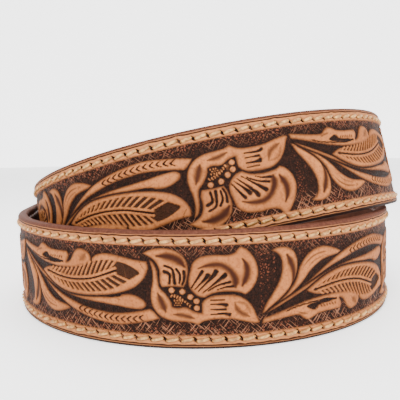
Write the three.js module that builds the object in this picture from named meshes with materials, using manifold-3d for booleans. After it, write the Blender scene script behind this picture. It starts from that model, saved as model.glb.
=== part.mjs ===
// A western tooled leather belt, rolled into two turns and standing on its edge.
// The lower turn stands level on the floor. The strap then runs on as the upper turn, a tilted ring that
// starts inside the lower turn at the left, passes over its rim at the right front and ends outside it at
// the back, in the punched tip. The first end is folded round the bar of a plain buckle and riveted.
// Lengths are in millimetres and angles in degrees. Plan angles run from the front (-Y) towards the
// right (+X): 0 is the front, 90 the right, 180 the back and 270 the left. +Z is up.

import * as THREE from "three";
import Module from "manifold-3d";
import { mergeVertices } from "three/addons/utils/BufferGeometryUtils.js";

// The strap
const STRAP_WIDTH = 38;
const STRAP_THICKNESS = 4;
const EDGE_RADIUS = 1.3;
const EDGE_STEPS = 2;
const BORDER_WIDTH = 4.6;
const FIELD_DEPTH = 0.5;
const FIELD_SLOPE = 0.6;

// Largest shares of a thin section that its edge rounding, border and slope may take
const ROUNDING_SHARE = 0.9;
const BORDER_SHARE = 0.5;
const SLOPE_SHARE = 0.1;

// The lower turn
const LOWER_RADIUS = 77.2;
const LOWER_OVAL = 1;
const OVAL_START = -130;
const OVAL_FULL = -80;
const OVAL_FADE = 60;
const OVAL_END = 100;
const TOP_FLARE = 0.2;
const FLARE_END = 90;

// The upper turn
const UPPER_RADIUS = 77.9;
const HIGH_SIDE_ANGLE = 46.8;
const FLOOR_GAP = 1.8;
const RIM_LIFT = 1.3;
const LEFT_GAP = 2.8;
const BACK_GAP = 7.8;

// Where the strap starts, passes from one turn to the other, and ends
const START_ANGLE = -135;
const PASS_START = 186;
const PASS_END = 264;
const END_ANGLE = 552;
const STATION_STEP = 5;
const START_SPREAD = 8;
const SPREAD_FROM = -92;
const LIFT_FROM = -90;

// Where the strap dips inwards past its own first end, and where it comes back out
const DIP_START = 160;
const DIP_FULL = 215;
const DIP_FADE = 225;
const DIP_END = 284;

// The buckle end: a thinned fold round the bar, held by two rivets
const FOLD_THICKNESS = 2.4;
const FOLD_RETURN = 46;
const FOLD_BLEND = 20;
const FOLD_HUG = 3;
const FOLD_CLOSING = 15.4;
const RETURN_STEP = 5;
const LAYER_STEP = 4;
const BUCKLE_FIT = 0.5;
const WORKING_GAP = 0.3;
const BAR_THICKNESS = 3.2;
const SLOT_WIDTH = 7;
const SLOT_LENGTH = 26;
const RIVET_SHANK_RADIUS = 1.6;
const RIVET_HEAD_RADIUS = 4.2;
const RIVET_HEAD_HEIGHT = 1.1;
const RIVET_DOME_TOP = 0.6;
const RIVET_DOME_SIDE = 0.35;
const RIVET_SIDES = 20;
const RIVET_FIRST = 21;
const RIVET_SPACING = 17;

// The buckle
const FRAME_RIM = 3.6;
const FRAME_LENGTH = 36;
const FRAME_CORNER = 7;
const BAR_CORNER = 2.5;
const FRAME_BEVEL = 0.9;
const PRONG_WIDTH = 4;
const PRONG_THICKNESS = 2.4;
const PRONG_OVERHANG = 0.8;
const PRONG_NOSE = 0.4;
const PRONG_SINK = 0.05;

// The tip
const TIP_LENGTH = 30;
const HOLE_RADIUS = 2.4;
const HOLE_SIDES = 16;
const HOLE_COUNT = 5;
const HOLE_SPACING = 19;
const FIRST_HOLE = 55;

// The pointed tip: shares of its length and of the strap's width
const TIP_SHAPE = [
  { along: 0.25, width: 0.96 },
  { along: 0.5, width: 0.82 },
  { along: 0.72, width: 0.6 },
  { along: 0.9, width: 0.36 },
  { along: 1, width: 0.16 },
];

// The tooled field starts past the fold and stops short of the punched holes
const FIELD_START = 50;
const FIELD_STOP = 13;
const FIELD_RUN_OUT = 3;

// How near two corners of a mesh must lie to be one
const MERGE_DISTANCE = 1e-4;

const wasm = await Module();
wasm.setup();

const radians = THREE.MathUtils.degToRad;
const smooth = (x, from, to) => THREE.MathUtils.smoothstep(x, from, to);
const Z = new THREE.Vector3(0, 0, 1);

// The tilted ring of the upper turn. It climbs one strap width from its low side to its high side.
const climb = STRAP_WIDTH + RIM_LIFT - FLOOR_GAP;
const tilt = Math.asin(climb / (2 * UPPER_RADIUS));
const high = radians(HIGH_SIDE_ANGLE);
const upperAxis = new THREE.Vector3(
  -Math.sin(high) * Math.sin(tilt),
  Math.cos(high) * Math.sin(tilt),
  Math.cos(tilt),
);
const upperRight = new THREE.Vector3(1, 0, 0).addScaledVector(upperAxis, -upperAxis.x).normalize();
const upperBack = new THREE.Vector3().crossVectors(upperAxis, upperRight);
const upperCentre = new THREE.Vector3(
  UPPER_RADIUS * upperRight.x - (LOWER_RADIUS - STRAP_THICKNESS - LEFT_GAP),
  LOWER_RADIUS + STRAP_THICKNESS + BACK_GAP - UPPER_RADIUS * upperBack.y,
  FLOOR_GAP + climb / 2 + (STRAP_WIDTH / 2) * Math.cos(tilt),
);

// The buckle is wider than the strap, so it lifts the strap's first end off the floor.
const frameHalfWidth = STRAP_WIDTH / 2 + BUCKLE_FIT + FRAME_RIM;
const buckleLift = frameHalfWidth - STRAP_WIDTH / 2 + WORKING_GAP;

// Centre of the lower turn's strap, and the direction across its width, at a plan angle.
function lowerTurn(angle) {
  const a = radians(angle);
  const ovalShare = smooth(-angle, -OVAL_END, -OVAL_FADE) * smooth(angle, OVAL_START, OVAL_FULL);
  const oval = LOWER_OVAL * Math.sin(2 * a) * ovalShare;
  const spread = START_SPREAD * smooth(-angle, -SPREAD_FROM, -START_ANGLE);
  const radius = LOWER_RADIUS + oval + spread;
  const rise = Math.max(0, (LIFT_FROM - angle) / (LIFT_FROM - START_ANGLE));
  const height = STRAP_WIDTH / 2 + buckleLift * rise * rise;
  const centre = new THREE.Vector3(radius * Math.sin(a), -radius * Math.cos(a), height);
  const flareShare = Math.max(0, -Math.sin(a)) ** 2 * smooth(-angle, -FLARE_END, 0);
  const flare = (TOP_FLARE / (STRAP_WIDTH / 2)) * flareShare;
  const across = new THREE.Vector3(flare * Math.sin(a), -flare * Math.cos(a), 1);
  return { centre, across };
}

// The same for the upper turn.
function upperTurn(angle) {
  const a = radians(angle);
  const centre = upperCentre
    .clone()
    .addScaledVector(upperRight, UPPER_RADIUS * Math.sin(a))
    .addScaledVector(upperBack, -UPPER_RADIUS * Math.cos(a));
  return { centre, across: upperAxis };
}

// The whole route. Between the two turns the strap dips inwards, clear of its own first end.
function route(angle) {
  const share = smooth(angle, PASS_START, PASS_END);
  const lower = lowerTurn(angle);
  const upper = upperTurn(angle);
  const centre = lower.centre.lerp(upper.centre, share);
  const a = radians(angle);
  const inwards = smooth(angle, DIP_START, DIP_FULL) * smooth(-angle, -DIP_END, -DIP_FADE);
  const dip = (STRAP_THICKNESS + LEFT_GAP) * inwards;
  centre.add(new THREE.Vector3(-dip * Math.sin(a), dip * Math.cos(a), 0));
  return { centre, across: lower.across.lerp(upper.across, share) };
}

// Position and frame at a plan angle: along the strap, out from the coil and across the width.
function frameAt(angle) {
  const step = 0.5;
  const along = route(angle + step).centre.sub(route(angle - step).centre).normalize();
  const { centre, across } = route(angle);
  const out = new THREE.Vector3().crossVectors(along, across).normalize();
  return { centre, along, out, across: new THREE.Vector3().crossVectors(out, along) };
}

// Arc length from the strap's start to each whole degree, and the plan angle at an arc length.
const lengthAt = [0];
for (let a = START_ANGLE; a < END_ANGLE; a += 1) {
  lengthAt.push(lengthAt.at(-1) + route(a + 1).centre.distanceTo(route(a).centre));
}
const strapLength = lengthAt.at(-1);
const angleAt = (s) => {
  if (s <= 0) return START_ANGLE + s / (lengthAt[1] - lengthAt[0]);
  const i = Math.min(lengthAt.findIndex((l) => l >= s) - 1, lengthAt.length - 2);
  const k = i < 0 ? lengthAt.length - 2 : i;
  return START_ANGLE + k + (s - lengthAt[k]) / (lengthAt[k + 1] - lengthAt[k]);
};

// One strap section: rounded edges all round, and on the outer face a sunk field between two borders.
function sectionPoints(halfWidth, halfThickness, fieldDepth) {
  const r = Math.min(EDGE_RADIUS, halfThickness * ROUNDING_SHARE);
  const points = [];
  const corner = (n, v, from) => {
    for (let i = 0; i <= EDGE_STEPS; i += 1) {
      const a = radians(from + (90 * i) / EDGE_STEPS);
      points.push([n + r * Math.cos(a), v + r * Math.sin(a)]);
    }
  };
  const border = Math.min(BORDER_WIDTH, halfWidth * BORDER_SHARE);
  const slope = Math.min(FIELD_SLOPE, halfWidth * SLOPE_SHARE);
  corner(halfThickness - r, halfWidth - r, 0);
  corner(-halfThickness + r, halfWidth - r, 90);
  corner(-halfThickness + r, -halfWidth + r, 180);
  corner(halfThickness - r, -halfWidth + r, 270);
  points.push([halfThickness, -halfWidth + border]);
  points.push([halfThickness - fieldDepth, -halfWidth + border + slope]);
  points.push([halfThickness - fieldDepth, halfWidth - border - slope]);
  points.push([halfThickness, halfWidth - border]);
  return points;
}

// A closed solid lofted through sections. Each has its ring of 3-D points, all in the same order.
function loft(rings) {
  const count = rings[0].length;
  const positions = rings.flat().flatMap((p) => [p.x, p.y, p.z]);
  const index = [];
  for (let i = 0; i + 1 < rings.length; i += 1) {
    for (let j = 0; j < count; j += 1) {
      const k = (j + 1) % count;
      const [a, b, c, d] = [i * count + j, i * count + k, (i + 1) * count + k, (i + 1) * count + j];
      index.push(a, c, b, a, d, c);
    }
  }
  const ends = [
    { ring: rings[0], offset: 0, first: true },
    { ring: rings.at(-1), offset: (rings.length - 1) * count, first: false },
  ];
  for (const { ring, offset, first } of ends) {
    const middle = ring.reduce((sum, p) => sum.add(p), new THREE.Vector3()).divideScalar(count);
    const hub = positions.length / 3;
    positions.push(middle.x, middle.y, middle.z);
    for (let j = 0; j < count; j += 1) {
      const k = (j + 1) % count;
      if (first) index.push(hub, offset + j, offset + k);
      else index.push(hub, offset + k, offset + j);
    }
  }
  const geometry = new THREE.BufferGeometry();
  geometry.setAttribute("position", new THREE.Float32BufferAttribute(positions, 3));
  geometry.setIndex(index);
  return geometry;
}

// manifold-3d solids from three.js geometries, and back
function solidOf(geometry, matrix = new THREE.Matrix4()) {
  const bare = new THREE.BufferGeometry();
  bare.setAttribute("position", geometry.getAttribute("position").clone());
  if (geometry.index) bare.setIndex(geometry.index.clone());
  const merged = mergeVertices(bare.applyMatrix4(matrix), MERGE_DISTANCE);
  return new wasm.Manifold(
    new wasm.Mesh({
      numProp: 3,
      vertProperties: new Float32Array(merged.getAttribute("position").array),
      triVerts: new Uint32Array(merged.index.array),
    }),
  );
}

function geometryOf(solid) {
  const mesh = solid.getMesh();
  const geometry = new THREE.BufferGeometry();
  geometry.setAttribute("position", new THREE.Float32BufferAttribute(mesh.vertProperties, 3));
  geometry.setIndex(Array.from(mesh.triVerts));
  geometry.computeVertexNormals();
  return geometry;
}

// Places local axes at an arc length: x along the strap, y across the width, z out of the coil.
function placeAt(s, outward = 0) {
  const { centre, along, out, across } = frameAt(angleAt(s));
  const matrix = new THREE.Matrix4().makeBasis(along, across, out);
  return matrix.setPosition(centre.clone().addScaledVector(out, outward));
}

// The fold turns round the bar in flat facets, which clear the bar's rounded corners.
const FOLD_FACETS = 8;
const barReach = Math.SQRT2 * (BAR_THICKNESS / 2 - FRAME_BEVEL) + FRAME_BEVEL;
const foldInside = barReach / Math.cos(Math.PI / (2 * FOLD_FACETS)) + WORKING_GAP;

// Half the distance between the two folded layers' middles: at the bar, and where they lie flat.
const foldAtBar = foldInside + FOLD_THICKNESS / 2;
const foldFlat = (WORKING_GAP + FOLD_THICKNESS) / 2;

// The flat fold's outer faces, measured from its middle, and the rivets' places along the strap
const foldFace = foldFlat + FOLD_THICKNESS / 2;
const RIVET_PLACES = [RIVET_FIRST, RIVET_FIRST + RIVET_SPACING];

function foldOffset(s) {
  return THREE.MathUtils.lerp(foldAtBar, foldFlat, smooth(s, FOLD_HUG, FOLD_HUG + FOLD_CLOSING));
}

// Stations of the strap, from the fold's free end round the bar to the tip: place, frame and section.
function stations() {
  const list = [];
  const add = (s, offset, turn, thickness, halfWidth, fieldDepth) => {
    const { centre, along, out, across } = frameAt(angleAt(s));
    const middle = centre.clone().addScaledVector(out, offset.n).addScaledVector(along, offset.s ?? 0);
    const outward = out.clone().multiplyScalar(Math.cos(turn)).addScaledVector(along, -Math.sin(turn));
    list.push({ middle, outward, across, thickness, halfWidth, fieldDepth });
  };
  const half = STRAP_WIDTH / 2;
  for (let s = FOLD_RETURN; s > 0; s -= RETURN_STEP) {
    add(s, { n: -foldOffset(s) }, Math.PI, FOLD_THICKNESS, half, 0);
  }
  for (let i = 0; i <= FOLD_FACETS; i += 1) {
    const turn = Math.PI - (Math.PI * i) / FOLD_FACETS;
    const offset = { n: foldAtBar * Math.cos(turn), s: -foldAtBar * Math.sin(turn) };
    add(0, offset, turn, FOLD_THICKNESS, half, 0);
  }
  const flatEnd = FOLD_RETURN + FOLD_HUG;
  for (let s = FOLD_HUG; s < flatEnd + FOLD_BLEND; s += LAYER_STEP) {
    const back = smooth(s, flatEnd, flatEnd + FOLD_BLEND);
    const thickness = THREE.MathUtils.lerp(FOLD_THICKNESS, STRAP_THICKNESS, back);
    const sunk = FIELD_DEPTH * smooth(s, FIELD_START, FIELD_START + FIELD_RUN_OUT);
    add(s, { n: foldOffset(s) * (1 - back) }, 0, thickness, half, sunk);
  }
  const fieldEnd = strapLength - FIRST_HOLE - (HOLE_COUNT - 1) * HOLE_SPACING - FIELD_STOP;
  const first = flatEnd + FOLD_BLEND;
  const tipStart = strapLength - TIP_LENGTH;
  const steps = Math.ceil((angleAt(tipStart) - angleAt(first)) / STATION_STEP);
  for (let i = 0; i <= steps; i += 1) {
    const s = first + ((tipStart - first) * i) / steps;
    const sunk = FIELD_DEPTH * (1 - smooth(s, fieldEnd, fieldEnd + FIELD_RUN_OUT));
    add(s, { n: 0 }, 0, STRAP_THICKNESS, half, sunk);
  }
  for (const { along, width } of TIP_SHAPE) {
    add(tipStart + TIP_LENGTH * along, { n: 0 }, 0, STRAP_THICKNESS, half * width, 0);
  }
  return list;
}

function strapSolid() {
  const rings = stations().map(({ middle, outward, across, thickness, halfWidth, fieldDepth }) =>
    sectionPoints(halfWidth, thickness / 2, fieldDepth).map(([n, v]) =>
      middle.clone().addScaledVector(outward, n).addScaledVector(across, v),
    ),
  );
  let strap = solidOf(loft(rings));
  const quarter = new THREE.Matrix4().makeRotationX(Math.PI / 2);
  const drill = (s, radius, thickness) => {
    const cylinder = new THREE.CylinderGeometry(radius, radius, thickness + 2 * WORKING_GAP, HOLE_SIDES);
    strap = strap.subtract(solidOf(cylinder, placeAt(s).multiply(quarter)));
  };
  for (let i = 0; i < HOLE_COUNT; i += 1) {
    drill(strapLength - FIRST_HOLE - i * HOLE_SPACING, HOLE_RADIUS, STRAP_THICKNESS);
  }
  for (const s of RIVET_PLACES) drill(s, RIVET_SHANK_RADIUS + WORKING_GAP, 2 * foldFace);
  const slotDepth = 2 * (foldAtBar + FOLD_THICKNESS / 2 + WORKING_GAP);
  const slot = new THREE.BoxGeometry(SLOT_LENGTH, SLOT_WIDTH, slotDepth);
  return strap.subtract(solidOf(slot, placeAt(0)));
}

// A rivet through both folded layers, with a low domed head on each side
function rivetSolid(s) {
  const seat = foldFace + WORKING_GAP;
  const top = seat + RIVET_HEAD_HEIGHT;
  const profile = [
    [0, -top],
    [RIVET_HEAD_RADIUS * RIVET_DOME_TOP, -top],
    [RIVET_HEAD_RADIUS, -seat - RIVET_HEAD_HEIGHT * RIVET_DOME_SIDE],
    [RIVET_HEAD_RADIUS, -seat],
    [RIVET_SHANK_RADIUS, -seat],
    [RIVET_SHANK_RADIUS, seat],
    [RIVET_HEAD_RADIUS, seat],
    [RIVET_HEAD_RADIUS, seat + RIVET_HEAD_HEIGHT * RIVET_DOME_SIDE],
    [RIVET_HEAD_RADIUS * RIVET_DOME_TOP, top],
    [0, top],
  ].map(([x, y]) => new THREE.Vector2(x, y));
  const quarter = new THREE.Matrix4().makeRotationX(Math.PI / 2);
  return solidOf(new THREE.LatheGeometry(profile, RIVET_SIDES), placeAt(s).multiply(quarter));
}

// The buckle: a flat frame whose first side is the bar, and a prong fixed to the bar. Local x runs
// along the strap, so the frame lies on the negative side of the bar.
function buckleSolid() {
  const barHalf = BAR_THICKNESS / 2;
  const outline = new THREE.Shape();
  const [near, far, w, c] = [barHalf, barHalf - FRAME_LENGTH, frameHalfWidth, FRAME_CORNER];
  const b = BAR_CORNER;
  outline.moveTo(near, -w + b).lineTo(near, w - b);
  outline.absarc(near - b, w - b, b, 0, Math.PI / 2, false);
  outline.lineTo(far + c, w);
  outline.absarc(far + c, w - c, c, Math.PI / 2, Math.PI, false);
  outline.absarc(far + c, -w + c, c, Math.PI, 1.5 * Math.PI, false);
  outline.lineTo(near - b, -w);
  outline.absarc(near - b, -w + b, b, 1.5 * Math.PI, 2 * Math.PI, false);
  const inner = new THREE.Path();
  const [iw, ic] = [w - FRAME_RIM, c - FRAME_RIM / 2];
  const innerFar = far + FRAME_RIM;
  inner.moveTo(-barHalf, -iw).lineTo(innerFar + ic, -iw);
  inner.absarc(innerFar + ic, -iw + ic, ic, 1.5 * Math.PI, Math.PI, true);
  inner.absarc(innerFar + ic, iw - ic, ic, Math.PI, Math.PI / 2, true);
  inner.lineTo(-barHalf, iw).lineTo(-barHalf, -iw);
  outline.holes.push(inner);
  const flat = new THREE.ExtrudeGeometry(outline, {
    depth: BAR_THICKNESS - 2 * FRAME_BEVEL,
    bevelThickness: FRAME_BEVEL,
    bevelSize: FRAME_BEVEL,
    bevelOffset: -FRAME_BEVEL,
    bevelSegments: 2,
    curveSegments: 6,
  });
  const centred = new THREE.Matrix4().makeTranslation(0, 0, -BAR_THICKNESS / 2 + FRAME_BEVEL);
  const tip = far - PRONG_OVERHANG;
  const rest = barHalf + PRONG_THICKNESS;
  const side = new THREE.Shape();
  side.moveTo(barHalf, -barHalf).lineTo(barHalf + PRONG_THICKNESS, 0).lineTo(barHalf, rest);
  side.lineTo(tip + FRAME_RIM, rest);
  side.lineTo(tip, rest - PRONG_THICKNESS * PRONG_NOSE).lineTo(tip, barHalf - PRONG_SINK);
  side.lineTo(-barHalf, barHalf - PRONG_SINK).lineTo(-barHalf, -barHalf).lineTo(barHalf, -barHalf);
  const prong = new THREE.ExtrudeGeometry(side, { depth: PRONG_WIDTH, bevelEnabled: false });
  const upright = new THREE.Matrix4().makeRotationX(Math.PI / 2).setPosition(0, PRONG_WIDTH / 2, 0);
  const placed = placeAt(0);
  const frame = solidOf(flat, placed.clone().multiply(centred));
  return frame.add(solidOf(prong, placed.clone().multiply(upright)));
}

const leather = new THREE.MeshStandardMaterial({ color: 0xc98f68, roughness: 0.6, metalness: 0 });
const steel = new THREE.MeshStandardMaterial({ color: 0xb9b4aa, roughness: 0.35, metalness: 1 });

const coil = new THREE.Group();
function addPiece(name, solid, material) {
  const mesh = new THREE.Mesh(geometryOf(solid), material);
  mesh.name = name;
  coil.add(mesh);
}
addPiece("strap", strapSolid(), leather);
addPiece("buckle", buckleSolid(), steel);
addPiece("rivet_near_bar", rivetSolid(RIVET_PLACES[0]), steel);
addPiece("rivet_far", rivetSolid(RIVET_PLACES[1]), steel);

// The part's origin is the middle of its box, on the floor.
const box = new THREE.Box3().setFromObject(coil);
coil.position.set(-(box.min.x + box.max.x) / 2, -(box.min.y + box.max.y) / 2, -box.min.z);

const belt = new THREE.Group();
belt.add(coil);

export default belt;
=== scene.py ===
import math
import bmesh
import bpy
import numpy as np
from mathutils import Matrix, Vector


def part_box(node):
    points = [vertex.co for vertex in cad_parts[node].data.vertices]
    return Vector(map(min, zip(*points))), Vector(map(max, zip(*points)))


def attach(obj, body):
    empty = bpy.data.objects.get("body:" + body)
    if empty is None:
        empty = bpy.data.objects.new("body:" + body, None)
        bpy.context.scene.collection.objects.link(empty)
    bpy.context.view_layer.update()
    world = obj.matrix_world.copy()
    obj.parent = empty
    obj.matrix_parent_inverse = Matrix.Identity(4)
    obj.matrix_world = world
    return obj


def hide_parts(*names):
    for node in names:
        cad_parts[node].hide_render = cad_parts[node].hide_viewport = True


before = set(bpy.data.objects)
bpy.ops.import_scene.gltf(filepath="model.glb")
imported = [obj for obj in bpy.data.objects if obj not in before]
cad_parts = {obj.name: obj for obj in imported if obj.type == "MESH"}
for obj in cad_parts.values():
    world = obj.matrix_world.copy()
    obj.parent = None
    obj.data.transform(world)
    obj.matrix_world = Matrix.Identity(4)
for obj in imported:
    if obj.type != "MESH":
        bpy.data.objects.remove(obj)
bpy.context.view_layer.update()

MM = 0.001

# The belt's sizes in millimetres and plan angles in degrees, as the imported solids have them. The strap:
STRAP_WIDTH = 38.0
STRAP_THICKNESS = 4.0
EDGE_RADIUS = 1.3
BORDER_WIDTH = 4.6
# Its two turns
LOWER_RADIUS = 77.2
LOWER_OVAL = 1.0
TOP_FLARE = 0.2
UPPER_RADIUS = 77.9
HIGH_SIDE_ANGLE = 46.8
FLOOR_GAP = 1.8
RIM_LIFT = 1.3
LEFT_GAP = 2.8
BACK_GAP = 7.8
# Where along the route things start, pass and end
START_ANGLE = -135
PASS_START = 186
PASS_END = 264
END_ANGLE = 552
OVAL_RANGE = (-130, -80, 60, 100)
FLARE_END = 90
DIP_RANGE = (160, 215, 225, 284)
# The buckle's end swings out from angle SPREAD_FROM and rises from LIFT_FROM
SPREAD_FROM = -92
START_SPREAD = 8.0
LIFT_FROM = -90
BUCKLE_LIFT = 4.4
# The thinned fold round the buckle's bar
FOLD_THICKNESS = 2.4
FOLD_RETURN = 46.0
FOLD_BLEND = 20.0
FOLD_HUG = 3.0
FOLD_CLOSING = 15.4
FOLD_AT_BAR = 3.4
FOLD_FLAT = 1.35
SLOT_WIDTH = 7.0
SLOT_LENGTH = 26.0
RIVET_PLACES = [21.0, 38.0]
RIVET_HOLE = 1.9
# The tip, with its outline as shares of TIP_LENGTH and of half the width
TIP_LENGTH = 30.0
TIP_SHAPE = [(0, 1), (0.25, 0.96), (0.5, 0.82), (0.72, 0.6), (0.9, 0.36), (1, 0.16)]
HOLE_RADIUS = 2.4
HOLE_COUNT = 5
HOLE_SPACING = 19.0
FIRST_HOLE = 55.0
# The tooled field
FIELD_START = 50.0
FIELD_STOP = 13.0
FIELD_RUN_OUT = 3.0


def smooth(x, start, end):
    """0 up to the start, 1 from the end, and an eased step between them."""
    k = np.clip((x - start) / (end - start), 0, 1)
    return k * k * (3 - 2 * k)


# The route of the strap's middle, at plan angles in degrees: 0 the front, 90 the right, 180 the back
CLIMB = STRAP_WIDTH + RIM_LIFT - FLOOR_GAP
TILT = math.asin(CLIMB / (2 * UPPER_RADIUS))
HIGH = math.radians(HIGH_SIDE_ANGLE)
AXIS = np.array([-math.sin(HIGH) * math.sin(TILT), math.cos(HIGH) * math.sin(TILT), math.cos(TILT)])
RIGHT = np.array([1.0, 0, 0]) - AXIS * AXIS[0]
RIGHT /= np.linalg.norm(RIGHT)
BACK = np.cross(AXIS, RIGHT)
CENTRE = np.array([
    UPPER_RADIUS * RIGHT[0] - (LOWER_RADIUS - STRAP_THICKNESS - LEFT_GAP),
    LOWER_RADIUS + STRAP_THICKNESS + BACK_GAP - UPPER_RADIUS * BACK[1],
    FLOOR_GAP + CLIMB / 2 + STRAP_WIDTH / 2 * math.cos(TILT),
])


def lower_turn(angle):
    """The lower turn's middle, and its direction across."""
    a = np.radians(angle)
    start, full, fade, end = OVAL_RANGE
    oval = LOWER_OVAL * np.sin(2 * a) * smooth(-angle, -end, -fade) * smooth(angle, start, full)
    radius = LOWER_RADIUS + oval + START_SPREAD * smooth(-angle, -SPREAD_FROM, -START_ANGLE)
    rise = np.maximum(0, (LIFT_FROM - angle) / (LIFT_FROM - START_ANGLE))
    height = STRAP_WIDTH / 2 + BUCKLE_LIFT * rise * rise
    centre = np.stack([radius * np.sin(a), -radius * np.cos(a), height], -1)
    flare = TOP_FLARE / (STRAP_WIDTH / 2) * np.maximum(0, -np.sin(a)) ** 2 * smooth(-angle, -FLARE_END, 0)
    across = np.stack([flare * np.sin(a), -flare * np.cos(a), np.ones_like(a)], -1)
    return centre, across


def upper_turn(angle):
    """The middle of the upper turn, a tilted circle, and its direction across."""
    a = np.radians(angle)[..., None]
    return CENTRE + RIGHT * UPPER_RADIUS * np.sin(a) - BACK * UPPER_RADIUS * np.cos(a), AXIS


def route(angle):
    """The whole strap's middle and direction across. It passes from turn to turn at the back."""
    angle = np.asarray(angle, float)
    share = smooth(angle, PASS_START, PASS_END)[..., None]
    low, low_across = lower_turn(angle)
    top, top_across = upper_turn(angle)
    a = np.radians(angle)
    start, full, fade, end = DIP_RANGE
    dip = (STRAP_THICKNESS + LEFT_GAP) * smooth(angle, start, full) * smooth(-angle, -end, -fade)
    centre = low * (1 - share) + top * share
    centre[..., 0] -= dip * np.sin(a)
    centre[..., 1] += dip * np.cos(a)
    return centre, low_across * (1 - share) + top_across * share


def unit_rows(v):
    return v / np.linalg.norm(v, axis=-1, keepdims=True)


# Degrees to either side that the direction along is taken over
NUDGE = 0.5


def frames(angle):
    """The strap's middle, and its directions along, outward and across."""
    along = unit_rows(route(angle + NUDGE)[0] - route(angle - NUDGE)[0])
    centre, across = route(angle)
    out = unit_rows(np.cross(along, across))
    return centre, along, out, np.cross(out, along)


DEGREES = np.arange(START_ANGLE, END_ANGLE + 1)
STEPS = np.linalg.norm(np.diff(route(DEGREES)[0], axis=0), axis=1)
LENGTHS = np.concatenate([[0], np.cumsum(STEPS)])
STRAP_LENGTH = LENGTHS[-1]
FIELD_END = STRAP_LENGTH - FIRST_HOLE - (HOLE_COUNT - 1) * HOLE_SPACING - FIELD_STOP


def angle_at(s):
    return np.interp(s, LENGTHS, DEGREES)


def length_at(angle):
    return np.interp(angle, DEGREES, LENGTHS)


# The carved repeat. u runs along the strap from one knot to the next and v across it, in millimetres.
# In an outline a third value marks a sharp corner, and the rest is one smooth curve.
UNIT = 98.0
FIELD_HALF = 15.0
# Its grid: cells to the millimetre, and how far it goes past the repeat's ends
CELLS = 8
GRID_MARGIN = 2

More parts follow.
